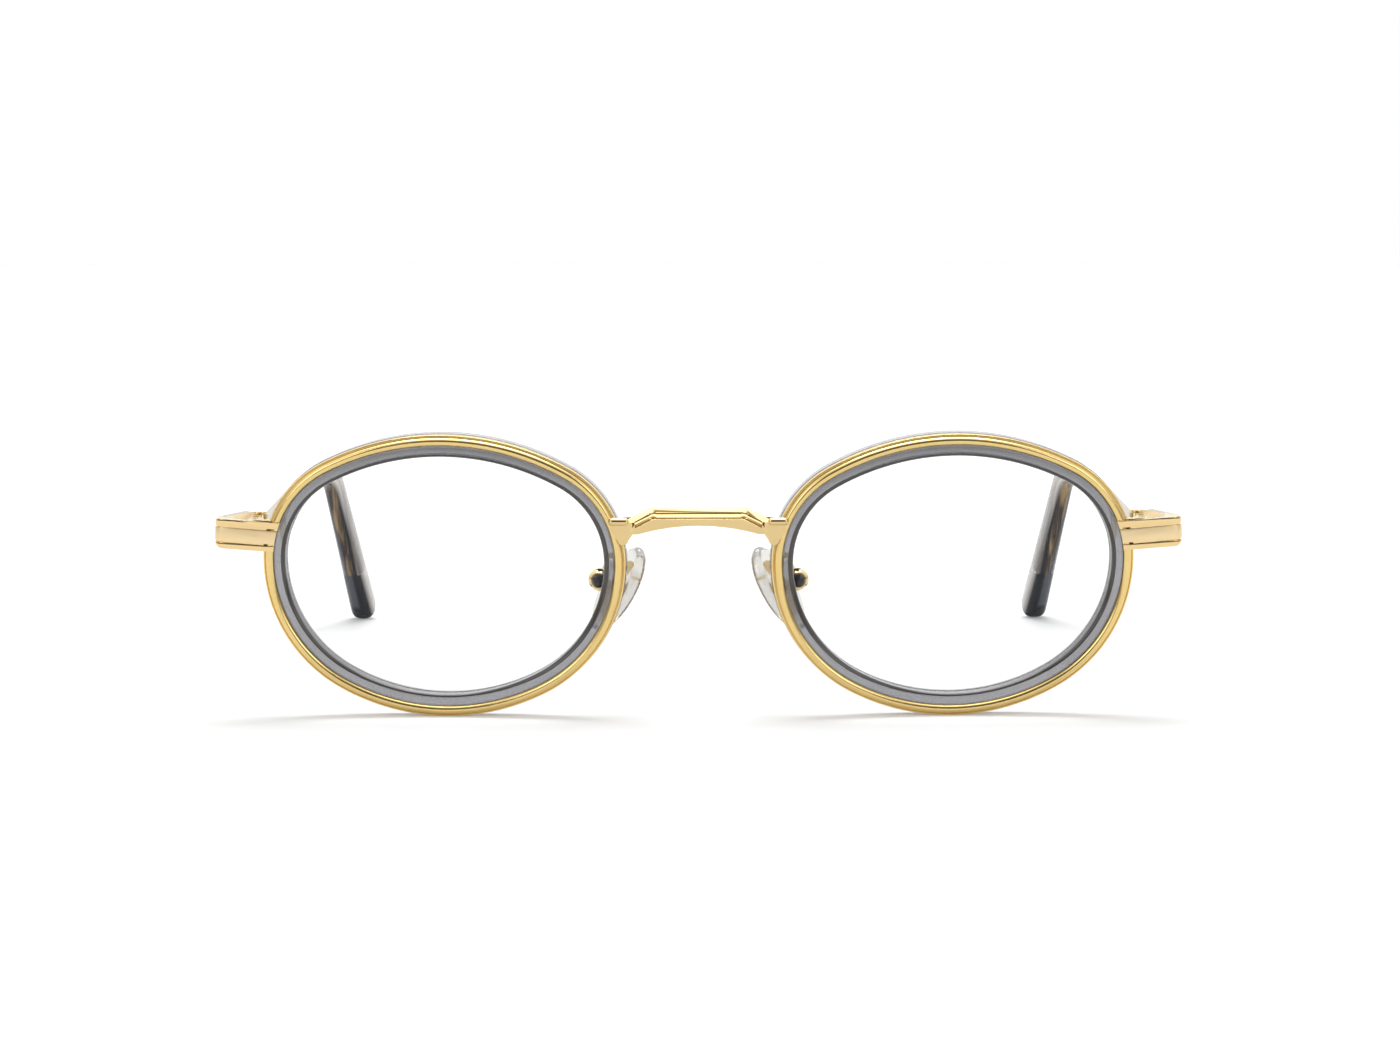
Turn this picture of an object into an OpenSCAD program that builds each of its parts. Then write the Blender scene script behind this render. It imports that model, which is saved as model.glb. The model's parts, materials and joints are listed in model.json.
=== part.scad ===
// Combination eyeglass frame: metal eyewires around acetate rings, sprung open on a table.
// Millimetres, +X to the wearer's left, -Y to the front, +Z up.
// It stands on the bottoms of the two rims and on the two temple tips.

/* [Eye shape] */

// half the width of the eyewire's outline
eye_a = 25.4; // [22.04:0.06:29]
// height of the outline above its widest line
eye_top = 17.78; // [15.02:0.06:20]
// height of the outline below its widest line
eye_low = 21.98; // [18.02:0.06:25]
// half the distance between the two eye centres
eye_x = 35.6; // [31:0.1:40]
// how far the outline is turned, temple side up, in degrees
eye_turn = 1.1; // [0:0.1:8]
// how far each eye sweeps back towards the temple, in degrees
wrap = 3.1; // [0:0.1:10]
// how far the front leans, top forwards, in degrees
lean = 4.2; // [0:0.1:10]

/* [Rim section] */

// width of the rounded bead
bead_w = 1.16; // [0.8:0.02:2]
// how far the outer flange stands out past the bead
flange_w = 0.34; // [0.2:0.02:0.8]
// how far the flange is set back from the front
flange_y = 0.55; // [0.3:0.05:1.2]
// depth of the metal, from the front of the bead to the back of the flange
metal_d = 1.9; // [1.4:0.05:3]

/* [Acetate ring] */

// width of the ring that shows inside the bead
ring_w = 1.54; // [1:0.02:3]
// how far the ring's front is set back from the bead's front
ring_y = 0.35; // [0:0.05:1]
// depth from the bead's front to the ring's back
ring_back = 4.3; // [3:0.1:6]
// how far the ring stands out past the flange, behind it
ring_out = 0.12; // [0:0.02:0.5]
// how deep the lens sits in the ring's groove
groove = 0.55; // [0.3:0.05:1]
// lens thickness
lens_t = 1.5; // [1:0.1:2.5]

/* [Bridge] */

// half the length of the bridge's flat top
bridge_top = 6.6; // [4:0.1:10]
// height of the flat top above the table
bridge_z = 29.75; // [24:0.1:34]
// height of the bar at its middle
bridge_h = 2.4; // [1.8:0.05:4]
// depth of the bar
bridge_d = 2.0; // [1.2:0.1:3.5]

/* [End pieces] */

// outer side of the end pieces, from the middle
end_x = 67.8; // [60:0.1:76]
// height of the end piece
end_h = 4.15; // [3:0.1:7]
// height of the middle of the end piece above the table
end_z = 25.9; // [20:0.1:30]
// thickness of the end piece's plate
end_t = 1.35; // [1:0.05:2.5]
// depth and width of the two engraved lines
line_w = 0.26; // [0.1:0.02:0.5]

/* [Hinge] */

// hinge axis, from the middle
hinge_x = 62.6; // [56:0.1:70]
// hinge axis, behind the front
hinge_y = 13.2; // [9:0.1:18]
// radius of the hinge knuckles
knuckle_r = 1.15; // [0.9:0.05:2]
// height of one knuckle
knuckle_h = 1.5; // [0.8:0.05:2.5]
// height of the middle of the hinge above the table
hinge_z = 25.3; // [20:0.1:30]
// radius of the hinge screw
screw_r = 0.6; // [0.4:0.02:1]

/* [Temples] */

// where the temple starts to bend down, behind the front
bend_y = 98; // [80:1:120]
// height of the temple's middle line at the bend
bend_z = 28.0; // [20:0.1:34]
// how far the tip drops, in degrees below level
drop = 38; // [20:1:60]
// radius of the ear bend
bend_r = 16; // [8:1:40]
// how far inwards the temple leans from the hinge to the bend
arm_in = 0.1; // [0:0.1:8]
// thickness of the metal temple
arm_t = 1.5; // [0.8:0.05:2.5]
// height of the metal temple
arm_h = 2.1; // [1.2:0.1:5]
// thickness of the acetate tip at the ear bend
tip_t = 3.3; // [2.5:0.1:6]
// thickness of the tip's paddle at its end
tip_end_t = 4.3; // [2.4:0.1:6]
// height of the acetate tip
tip_h = 5.0; // [4:0.1:9]
// length of the tip in front of the bend
tip_lead = 22; // [8:1:50]

/* [Nose pads] */

// length of a nose pad
pad_l = 13.2; // [10:0.1:18]
// width of a nose pad
pad_w = 7.56; // [5:0.06:10]
// thickness of a nose pad
pad_t = 2.7; // [1.5:0.1:4]
// middle of a pad, from the middle of the frame
pad_x = 11.2; // [8:0.1:18]
// middle of a pad, behind the front
pad_y = 7.6; // [4:0.1:14]
// middle of a pad, above the table
pad_z = 17.4; // [10:0.1:26]
// how far a pad leans outwards at its lower end, in degrees
pad_lean = 29.5; // [10:1:40]
// how far a pad opens towards the back, in degrees
pad_splay = 28; // [10:1:45]

/* [Hidden] */

$fn = 96;

// the outline is a six-centre oval: two end arcs and a long arc in each half, tangent where
// they meet. their centres make right triangles of 8, 15 and 17, so that the arcs meet exactly
function hundredth(v) = round(v * 100) / 100;
unit_top = hundredth((eye_a - eye_top) / 6);
half_w = hundredth(eye_top) + 6 * unit_top;
unit_low = hundredth((half_w - eye_low) / 6);
unit = [unit_top, unit_low];
end_c = 8 * unit;
long_c = 15 * unit;
end_r = [half_w, half_w] - 8 * unit;
long_r = end_r + 17 * unit;

// the eye centre in the front's own frame, whose bottom is at z = 0 before it leans
eye_y = half_w * sin(wrap);
eye_z = long_r[1] - long_c[1] * cos(eye_turn);
gold_w = bead_w + flange_w;
u_in = -gold_w - ring_w;
low_y = eye_y - long_c[1] * sin(eye_turn) * sin(wrap);
low = low_y * sin(lean) + min(flange_y * sin(lean), metal_d * sin(lean) - ring_out * cos(lean));

// the lens is a spherical shell with a bevel that sits in the ring's groove
blank_w = min(end_r) - 0.5;
lens_r = 200;
lens_front = 0.8;
lens_gap = 0.08;
bevel_mid = 2.5;
bevel_base = 0.8;
bevel_top = 0.3;

// the bridge's two lugs, from the middle
lug_x = 10.5;

// where the eyewire is split, above the eye centre
split_z = 4.0;
split_gap = 0.24;
block_h = 1.5;
block_y = 1.15;
block_in = 1.3;
block_out = 2.3;
close_x = half_w + 1.35;
close_y = block_y + 1.2;
close_r = 0.45;

// end piece: a plate bent round a corner, in plan
corner_x = end_x - end_t;
plate_in = 8.8;
plate_turn = 9;
side_turn = 26;
side_l = 7.3;
corner_y = eye_y + half_w * tan(wrap) + 2.2;
end_rise = 3;
line_d = 0.2;
end_zl = (end_z + low - corner_y * sin(lean)) / cos(lean);

// hinge: the ears are above and below the temple's knuckle
knuckle_gap = 0.06;
hinge_top = hinge_z + knuckle_h * 1.5 + knuckle_gap;
run_gap = 0.05;
// how far the axis stands out from the inner face of the end piece's side
axis_out = (hinge_x - corner_x) * cos(side_turn)
  + (hinge_y - corner_y * cos(lean) + hinge_z * sin(lean)) * sin(side_turn);
leaf_in = 0.25;
// the leaf lies behind the side of the end piece, and reaches to the axis where that is further off
leaf_x = [min(leaf_in - axis_out, 0), max(end_t - leaf_in - axis_out, 0)];
leaf_l = norm([hinge_x - corner_x, hinge_y - corner_y * cos(lean) + hinge_z * sin(lean)]) - side_l + 0.25;

// the temple: the metal side meets the tip, which has the temple's core inside
arm_y0 = 20;
arm_x0 = hinge_x + 0.3;
arm_z0 = 25.1;
lead_y = bend_y - tip_lead;
lead_x = arm_x0 - arm_in;
tip_yaw = 4.4;
core_t = 1.4;
core_h = 2.0;
core_end = 14;
rise = atan2(bend_z - arm_z0, bend_y - arm_y0);

// nose pads, in the leaning front's frame
pad_yl = pad_y * cos(lean) + (pad_z + low) * sin(lean);
pad_zl = -pad_y * sin(lean) + (pad_z + low) * cos(lean);
box_off = 3.6;
plate_x = -0.4;
plate_l = 7.2;
plate_w = 1.3;
box_flat = 1.15;
plate_t = 0.5;
box_r = 1.6;
pin_r = 0.35;
wire_r = 0.42;
leg_x = -half_w + 0.75;
leg_up = 2.3;
leg_down = -0.9;

// the origin is under the middle of the object's length
front_y = -3.1;
back_y = 139.08;
mid_y = (front_y + back_y) / 2;

module stand() translate([0, -mid_y, 0]) children();

module front() stand() translate([0, 0, -low]) rotate([lean, 0, 0]) children();

module eye_frame() front() translate([eye_x, eye_y, eye_z]) rotate([0, 0, wrap]) children();

module eye_plane() eye_frame() rotate([0, -eye_turn, 0]) rotate([90, 0, 0]) children();

function eye_pt(x, d, z) = [
  eye_x + x * cos(wrap) - d * sin(wrap),
  eye_y + x * sin(wrap) + d * cos(wrap),
  eye_z + z
];

// sweeps a section round the outline; the section's x is outwards from it, and -y is depth
module sweep() for (half = [0, 1]) mirror([0, half, 0]) {
  for (side = [0, 1]) mirror([side, 0, 0]) translate([end_c[half], 0, 0]) intersection() {
    rotate_extrude() translate([end_r[half], 0]) children();
    wedge() polygon([[0, 0], 4 * [8, 15], [80, 60], [80, 0]]);
  }
  translate([0, -long_c[half], 0]) intersection() {
    rotate_extrude() translate([long_r[half], 0]) children();
    wedge() polygon([[0, 0], 4 * [8, 15], 4 * [-8, 15]]);
  }
}

module wedge() translate([0, 0, -5 * ring_back]) linear_extrude(10 * ring_back) children();

// the outline filled in
module oval() for (half = [0, 1]) mirror([0, half, 0]) {
  reach = end_c[half] + end_r[half] * 8 / 17;
  for (side = [-1, 1]) translate([side * end_c[half], 0]) intersection() {
    circle(end_r[half]);
    translate([-half_w, 0]) square([2 * half_w, half_w]);
  }
  intersection() {
    translate([0, -long_c[half]]) circle(long_r[half]);
    translate([-reach, 0]) square([2 * reach, half_w]);
  }
}

// a four-centre oval with half sizes a and b, tangent where its arcs meet
module pad_oval(a, b) {
  k = (a - b) / 6;
  for (s = [-1, 1]) translate([s * 8 * k, 0]) circle(b - 2 * k);
  intersection() {
    translate([0, -15 * k]) circle(b + 15 * k);
    translate([0, 15 * k]) circle(b + 15 * k);
    square([16 * k + 2 * (b - 2 * k) * 8 / 17, 3 * b], center = true);
  }
}

module tongue() polygon([
  [-gold_w - 0.01, -0.95], [-gold_w + 0.3, -1.12], [-gold_w + 0.3, -1.28], [-gold_w - 0.01, -1.45]
]);

module rim_section() difference() {
  union() {
    translate([-flange_w - bead_w / 2, -bead_w / 2]) circle(bead_w / 2);
    translate([-gold_w, -metal_d]) square([bead_w, metal_d - bead_w / 2]);
    translate([-flange_w - 0.2, -metal_d]) square([flange_w + 0.2, metal_d - flange_y]);
  }
  tongue();
}

module ring_section() difference() {
  union() {
    translate([u_in, -ring_back]) square([ring_w, ring_back - ring_y]);
    translate([-gold_w - 0.1, -ring_back]) square([gold_w + ring_out + 0.1, ring_back - metal_d]);
    tongue();
  }
  bevel_section(0.01);
  translate([u_in, -ring_y]) rotate(45) square(0.4, center = true);
  translate([u_in, -ring_back]) rotate(45) square(0.8, center = true);
  translate([ring_out, -ring_back]) rotate(45) square(0.9, center = true);
}

module bevel_section(over) polygon([
  [u_in - over, -bevel_mid + bevel_base / 2], [u_in + groove, -bevel_mid + bevel_top / 2],
  [u_in + groove, -bevel_mid - bevel_top / 2], [u_in - over, -bevel_mid - bevel_base / 2]
]);

// the room that the eyewire and the ring take up, for what is fitted against them
module eye_room() eye_plane() translate([0, 0, -metal_d - 1]) linear_extrude(metal_d + 3) oval();

// what the end pieces and the bridge give way to: the rim, and the ring inside it
module rim_seat() eye_plane() {
  sweep() translate([-9, -ring_back]) square([9 - gold_w, ring_back + 3]);
  sweep() translate([-gold_w - 0.2, -metal_d - 2]) square([gold_w + 0.2, metal_d + 2]);
}

module rod(p, q, r) {
  d = q - p;
  translate(p) rotate([0, acos(d[2] / norm(d)), atan2(d[1], d[0])]) cylinder(r = r, h = norm(d));
}

module gold() color([0.89, 0.74, 0.45]) children();
module satin() color([0.86, 0.75, 0.52]) children();
module acetate() color([0.54, 0.54, 0.58]) children();
module horn() color([0.35, 0.33, 0.38]) children();
module clear() color([0.9, 0.95, 0.95, 0.35]) children();

// cuts the two polished facets and their grooves, along a top edge that runs in +X
module facet_cut(face) rotate([90, 0, 90]) linear_extrude(12 * bridge_d, center = true) polygon([
  [face + 1.1, bridge_d], [face + 1.1, 0], [face + 0.48, -0.66], [face + 0.68, -0.74], [face + 0.52, -0.86],
  [face + 0.1, -1.28], [face + 0.3, -1.36], [face, -1.46], [face - bridge_d, -1.46],
  [face - bridge_d, bridge_d]
]);

module bridge() {
  arch_r = 30;
  shoulder_x = bridge_top + 2.7;
  shoulder_z = 1.35;
  // the front of the bar, and the lugs' heights below its top
  bar_front = 0.4 - bridge_d / 2;
  lug_top = 1.85;
  lug_low = 4.35;
  web_low = 3.6;
  gold() difference() {
    front() difference() {
      union() {
        // the bar, its shoulders and the web that runs down to the two lugs
        difference() {
          rotate([90, 0, 0]) translate([0, 0, -bridge_d / 2]) linear_extrude(bridge_d / 2 - bar_front) polygon([
            [-lug_x, bridge_z - web_low], [-lug_x, bridge_z - shoulder_z - 0.05],
            [-shoulder_x, bridge_z - shoulder_z], [-bridge_top, bridge_z], [bridge_top, bridge_z],
            [shoulder_x, bridge_z - shoulder_z], [lug_x, bridge_z - shoulder_z - 0.05],
            [lug_x, bridge_z - web_low]
          ]);
          translate([0, 0, bridge_z]) facet_cut(bar_front);
          for (side = [0, 1]) mirror([side, 0, 0]) translate([bridge_top, 0, bridge_z])
            rotate([0, atan2(shoulder_z, shoulder_x - bridge_top), 0]) facet_cut(bar_front);
        }
        for (s = [-1, 1]) translate([s * lug_x, 0, 0]) {
          translate([s * 0.6, -0.45, bridge_z - lug_top]) {
            rotate([0, 90, 0]) cylinder(r = 0.55, h = 1.8, center = true);
            for (e = [-0.9, 0.9]) translate([e, 0, 0]) sphere(0.55);
          }
          rotate([90, 0, 0]) translate([0, 0, -bridge_d / 2]) linear_extrude(bridge_d / 2 - bar_front + 0.15) {
            polygon([
              [-1.6, bridge_z - lug_top], [1.6, bridge_z - lug_top], [1.7, bridge_z - lug_top - 1.2],
              [0.75, bridge_z - lug_low - 0.1], [-0.75, bridge_z - lug_low - 0.1],
              [-1.7, bridge_z - lug_top - 1.2]
            ]);
            translate([0, bridge_z - lug_low]) circle(0.76);
          }
        }
      }
      // the arch under the bar
      rotate([90, 0, 0]) translate([0, bridge_z - bridge_h - arch_r, 0])
        intersection() {
          cylinder(r = arch_r, h = 4 * bridge_d, center = true);
          translate([0, arch_r - 2, 0]) cube([2 * lug_x - 3.6, 4 * bridge_d, 4 * bridge_d], center = true);
        }
    }
    for (side = [0, 1]) mirror([side, 0, 0]) rim_seat();
  }
}

module left_rim() gold() difference() {
  eye_plane() sweep() rim_section();
  eye_frame() translate([half_w - 2.5, -1, split_z - split_gap / 2]) cube([4, ring_back + 1, split_gap]);
}

module left_inner_ring() acetate() difference() {
  eye_plane() sweep() ring_section();
  front() for (z = [leg_up, leg_down])
    rod(eye_pt(leg_x, metal_d - 0.5, z), eye_pt(leg_x, ring_back + 1, z), wire_r + 0.04);
}

module left_lens() clear() {
  eye_plane() {
    intersection() {
      union() {
        sweep() translate([-blank_w, -ring_back]) square([blank_w + u_in - lens_gap, ring_back]);
        for (half = [0, 1]) mirror([0, half, 0]) translate([-end_c[0] - 3, -1, -ring_back])
          cube([2 * end_c[0] + 6, long_r[half] - long_c[half] - blank_w + 2, ring_back]);
      }
      translate([0, 0, -lens_front - lens_r]) rotate([90, 0, 0]) difference() {
        sphere(lens_r, $fn = 200);
        sphere(lens_r - lens_t, $fn = 200);
      }
    }
    sweep() bevel_section(0.4);
  }
}

module block(z) difference() {
  eye_frame() {
    translate([half_w - block_in, block_y, z]) cube([block_in + block_out, metal_d - block_y, block_h]);
    translate([half_w + 0.3, block_y, z]) cube([block_out - 0.3, 2.4, block_h]);
  }
  eye_room();
  eye_frame() translate([close_x, close_y, 0]) cylinder(r = close_r, h = 12);
}

module left_closing_block_upper() gold() block(split_z + split_gap / 2);

module left_closing_block_lower() gold() block(split_z - split_gap / 2 - block_h);

module left_closing_screw() gold() eye_frame() translate([close_x, close_y, split_z - block_h - 0.55]) {
  cylinder(r = close_r, h = 2 * block_h + 0.6);
  difference() {
    cylinder(r = 0.8, h = 0.43);
    translate([0, 0, 0.05]) cube([2, 0.2, 0.3], center = true);
  }
}

module bent(t) {
  circle(t);
  rotate(plate_turn) translate([-plate_in, -t]) square([plate_in, t]);
  rotate(side_turn) square([t, side_l]);
}

module left_end_piece() satin() difference() {
  front() translate([corner_x, corner_y, end_zl]) rotate([0, -end_rise, 0]) difference() {
    intersection() {
      translate([0, 0, -end_h / 2]) linear_extrude(end_h) bent(end_t);
      rotate([90, 0, 0]) translate([0, 0, -12]) linear_extrude(24) {
        translate([-12, -end_h / 2]) square([12 + end_t - 1.2, end_h]);
        translate([-12, -end_h / 2 + 1.2]) square([12 + end_t, end_h - 1.7]);
        translate([end_t - 1.2, -end_h / 2 + 1.2]) circle(1.2);
        translate([end_t - 1.2, end_h / 2 - 0.5]) square([0.7, 0.5]);
        translate([end_t - 0.5, end_h / 2 - 0.5]) circle(0.5);
      }
    }
    for (z = [0.242 * end_h, -0.274 * end_h]) translate([0, 0, z - line_w / 2])
      linear_extrude(line_w) difference() {
        bent(end_t + 0.2);
        bent(end_t - line_d);
      }
  }
  rim_seat();
  eye_frame() translate([half_w - block_in - 0.1, block_y, split_z - 2 * block_h])
    cube([block_in + block_out + 0.2, 2 * end_t, 4 * block_h]);
}

module knuckle(z) translate([hinge_x, hinge_y, z]) cylinder(r = knuckle_r, h = knuckle_h);

module left_front_hinge() gold() difference() {
  stand() for (k = [-1, 1]) {
    z = hinge_z - knuckle_h / 2 + k * (knuckle_h + knuckle_gap);
    knuckle(z);
    translate([hinge_x, hinge_y, z]) rotate([0, 0, side_turn]) translate([leaf_x[0], -leaf_l, 0])
      cube([leaf_x[1] - leaf_x[0], leaf_l, knuckle_h]);
  }
  left_end_piece();
  stand() translate([hinge_x, hinge_y, 0]) cylinder(r = screw_r, h = 60);
}

module left_hinge_screw() gold() stand() translate([hinge_x, hinge_y, 0]) {
  z = hinge_z - knuckle_h * 1.5 - knuckle_gap;
  translate([0, 0, z]) cylinder(r = screw_r, h = hinge_top - z);
  difference() {
    translate([0, 0, hinge_top]) cylinder(r = 1.0, h = 0.4);
    translate([0, 0, hinge_top + 0.35]) cube([3, 0.25, 0.3], center = true);
  }
}

module left_temple_hinge() gold() stand() difference() {
  union() {
    knuckle(hinge_z - knuckle_h / 2);
    translate([hinge_x - 0.9, hinge_y, hinge_z - knuckle_h / 2]) cube([1.5, 4.2, knuckle_h]);
  }
  translate([hinge_x, hinge_y, 0]) cylinder(r = screw_r + run_gap, h = 60);
}

// the tip's middle line: straight, then an arc over the ear, then straight down to the table
function lead_l() = tip_lead / cos(rise);
function bend_at(q) = let(p = [lead_l() * cos(rise), lead_l() * sin(rise)], a = rise - q)
  [p[0] + bend_r * (sin(rise) - sin(a)), p[1] + bend_r * (cos(a) - cos(rise)), a];
function drop_at(t) = let(e = bend_at(rise + drop)) [e[0] + t * cos(drop), e[1] - t * sin(drop), -drop];

// stations: [along, up, direction, half thickness, half height]
function outer_stations(l) = let(r = tip_h / 2) concat(
  [for (k = [0, 0.06, 0.5, 1]) let(g = k == 0 ? 0.86 : 1)
    [k * lead_l() * cos(rise), k * lead_l() * sin(rise), rise,
     g * (tip_t * (0.36 + 0.14 * k)), g * (tip_h * (0.28 + 0.1 * k))]],
  [for (k = [1:7]) let(b = bend_at((rise + drop) * k / 7)) [b[0], b[1], b[2], tip_t / 2, tip_h * 0.38]],
  [for (k = [0.25, 0.5, 0.75]) let(b = drop_at(k * (l - r)))
    [b[0], b[1], b[2], (tip_t * (1 - k) + tip_end_t * k) / 2, tip_h * (0.38 + 0.12 * k)]],
  [for (k = [0, 25, 45, 62, 76, 86]) let(b = drop_at(l - r + r * sin(k)))
    [b[0], b[1], b[2], tip_end_t / 2 * sqrt(cos(k)), r * cos(k)]]
);
function core_stations(l, over, first) = concat(
  [for (t = [first, 0.5 * lead_l(), lead_l()])
    [t * cos(rise), t * sin(rise), rise, core_t / 2 + over, core_h / 2 + over]],
  [for (k = [1:7]) let(b = bend_at((rise + drop) * k / 7))
    [b[0], b[1], b[2], core_t / 2 + over, core_h / 2 + over]],
  [for (k = [0.5, 1]) let(b = drop_at(k * (l - core_end) + (k == 1 ? over : 0)))
    [b[0], b[1], b[2], core_t / 2 + over, core_h / 2 + over]]
);

ring_n = 24;
function super(v) = sign(v) * pow(abs(v), 0.8);
function ring_pts(s) = [for (k = [0:ring_n - 1]) let(
    x = s[3] * super(cos(360 * k / ring_n)),
    y = s[4] * super(sin(360 * k / ring_n)),
    along = s[0] - y * sin(s[2])
  ) [
    lead_x - along * sin(tip_yaw) + x * cos(tip_yaw),
    lead_y + along * cos(tip_yaw) + x * sin(tip_yaw),
    arm_z0 + (lead_y - arm_y0) * tan(rise) + s[1] + y * cos(s[2])
  ]];
function loft_pts(st) = [for (s = st) each ring_pts(s)];
function side_faces(a, n) = [for (i = [0:n - 2], k = [0:ring_n - 1]) let(
    p = a + i * ring_n, q = p + ring_n, m = (k + 1) % ring_n
  ) each [[p + k, p + m, q + k], [p + m, q + m, q + k]]];
function flip(f) = [for (t = f) [t[0], t[2], t[1]]];
function cap(a) = [for (k = [1:ring_n - 2]) [a, a + k + 1, a + k]];

// the drop's length puts the tip's lowest point on the table
drop_try = 34;
drop_l = drop_try + min([for (p = loft_pts(outer_stations(drop_try))) p[2]]) / sin(drop);

module left_temple_tip() horn() stand() {
  outer = outer_stations(drop_l);
  inner = core_stations(drop_l, 0.03, 0);
  n = len(outer);
  m = len(inner);
  a = n * ring_n;
  polyhedron(
    points = concat(loft_pts(outer), loft_pts(inner)),
    faces = concat(
      side_faces(0, n), flip(cap((n - 1) * ring_n)),
      flip(side_faces(a, m)), cap(a + (m - 1) * ring_n),
      [for (k = [0:ring_n - 1]) let(j = (k + 1) % ring_n) each [[k, a + k, j], [j, a + k, a + j]]]
    )
  );
}

module left_temple_arm() gold() stand() {
  core = core_stations(drop_l, 0, -1);
  n = len(core);
  polyhedron(
    points = loft_pts(core),
    faces = concat(side_faces(0, n), cap(0), flip(cap((n - 1) * ring_n)))
  );
  turn = atan2(arm_x0 - lead_x, lead_y - arm_y0);
  bar_l = norm([arm_x0 - lead_x, lead_y - arm_y0]) / cos(rise) - 0.06;
  difference() {
    union() {
      translate([arm_x0, arm_y0, arm_z0]) rotate([rise, 0, turn])
        translate([-arm_t / 2, -0.3, -arm_h / 2]) cube([arm_t, bar_l + 0.3, arm_h]);
      intersection() {
        linear_extrude(60) polygon([
          [hinge_x - 0.9, hinge_y], [hinge_x + 1.2, hinge_y],
          [arm_x0 + arm_t / 2, arm_y0 + 0.2], [arm_x0 - arm_t / 2, arm_y0 + 0.2]
        ]);
        rotate([90, 0, 90]) linear_extrude(100) polygon([
          [hinge_y, hinge_z - 2], [hinge_y, hinge_z + 1.8], [hinge_y + 3, hinge_z + 1.6],
          [arm_y0 + 0.2, arm_z0 + arm_h / 2], [arm_y0 + 0.2, arm_z0 - arm_h / 2], [hinge_y + 3, hinge_z - 2]
        ]);
      }
    }
    translate([hinge_x, hinge_y, 0]) cylinder(r = knuckle_r + 0.3, h = 60);
    translate([hinge_x - 0.9, hinge_y, hinge_z - knuckle_h / 2]) cube([1.5, 4.2, knuckle_h]);
  }
}

module pad_frame() front() translate([pad_x, pad_yl, pad_zl])
  rotate([0, -pad_lean, 0]) rotate([0, 0, -pad_splay]) children();

function turn_z(v, a) = [v[0] * cos(a) - v[1] * sin(a), v[0] * sin(a) + v[1] * cos(a), v[2]];
function turn_y(v, a) = [v[0] * cos(a) + v[2] * sin(a), v[1], -v[0] * sin(a) + v[2] * cos(a)];
function pad_pt(v) = [pad_x, pad_yl, pad_zl] + turn_y(turn_z(v, -pad_splay), -pad_lean);

module core_plate() translate([plate_x, 0, 0]) rotate([90, 0, 90]) linear_extrude(plate_t) {
  square([plate_w, plate_l], center = true);
  for (s = [-1, 1]) translate([0, s * plate_l / 2]) circle(plate_w / 2);
}

module core_lug() translate([plate_x + plate_t / 2, -0.5, -1.0]) cube([box_off - plate_x - plate_t / 2, 1.0, 2.0]);

module left_nose_pad() clear() pad_frame() difference() {
  intersection() {
    rotate([90, 0, 90]) translate([0, 0, -3]) linear_extrude(6) rotate(90) pad_oval(pad_l / 2, pad_w / 2);
    translate([20 - pad_t / 2, 0, 0]) sphere(20, $fn = 240);
    translate([pad_t / 2 - 40, 0, 0]) sphere(40, $fn = 256);
  }
  core_plate();
  core_lug();
}

module left_pad_core() gold() pad_frame() difference() {
  union() {
    core_plate();
    core_lug();
    translate([box_off, 0, 0]) rotate([90, 0, 0]) cylinder(r = 1.0, h = 1.0, center = true);
  }
  translate([box_off, 0, 0]) rotate([90, 0, 0]) cylinder(r = pin_r + run_gap, h = 4, center = true);
}

module left_pad_box() gold() pad_frame() difference() {
  translate([box_off, 0, 0]) sphere(box_r);
  translate([box_off - 3 - box_flat, -3, -3]) cube([3, 6, 6]);
  translate([box_off - 2, -0.56, -3]) cube([3.12, 1.12, 6]);
  translate([box_off, 0, 0]) rotate([90, 0, 0]) cylinder(r = pin_r, h = 5, center = true);
}

module left_pad_screw() gold() pad_frame() translate([box_off, 0, 0]) rotate([90, 0, 0])
  cylinder(r = pin_r, h = 2.6, center = true);

module left_pad_arm() gold() front() {
  up0 = eye_pt(leg_x, metal_d, leg_up);
  up1 = eye_pt(leg_x, ring_back + 0.8, leg_up);
  down0 = eye_pt(leg_x, metal_d, leg_down);
  down1 = eye_pt(leg_x, ring_back + 0.8, leg_down);
  mid = (up1 + down1) / 2;
  knee = mid + [1.5, 1.3, -0.4];
  seat = pad_pt([box_off, 0, 0]);
  difference() {
    union() {
      rod(up0, up1, wire_r);
      rod(down0, down1, wire_r);
      rod(up1, down1, wire_r);
      for (p = [up1, down1, knee]) translate(p) sphere(wire_r * 1.08);
      rod(mid, knee, wire_r);
      rod(knee, seat, wire_r);
    }
    translate(seat) sphere(box_r);
  }
}

module right() mirror([1, 0, 0]) children();
module right_rim() right() left_rim();
module right_inner_ring() right() left_inner_ring();
module right_lens() right() left_lens();
module right_closing_block_upper() right() left_closing_block_upper();
module right_closing_block_lower() right() left_closing_block_lower();
module right_closing_screw() right() left_closing_screw();
module right_end_piece() right() left_end_piece();
module right_front_hinge() right() left_front_hinge();
module right_temple_hinge() right() left_temple_hinge();
module right_hinge_screw() right() left_hinge_screw();
module right_temple_arm() right() left_temple_arm();
module right_temple_tip() right() left_temple_tip();
module right_pad_arm() right() left_pad_arm();
module right_pad_box() right() left_pad_box();
module right_pad_core() right() left_pad_core();
module right_nose_pad() right() left_nose_pad();
module right_pad_screw() right() left_pad_screw();

bridge();
left_rim();
left_inner_ring();
left_lens();
left_closing_block_upper();
left_closing_block_lower();
left_closing_screw();
left_end_piece();
left_front_hinge();
left_temple_hinge();
left_hinge_screw();
left_temple_arm();
left_temple_tip();
left_pad_arm();
left_pad_box();
left_pad_core();
left_nose_pad();
left_pad_screw();
right_rim();
right_inner_ring();
right_lens();
right_closing_block_upper();
right_closing_block_lower();
right_closing_screw();
right_end_piece();
right_front_hinge();
right_temple_hinge();
right_hinge_screw();
right_temple_arm();
right_temple_tip();
right_pad_arm();
right_pad_box();
right_pad_core();
right_nose_pad();
right_pad_screw();
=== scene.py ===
import json
import math

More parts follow.
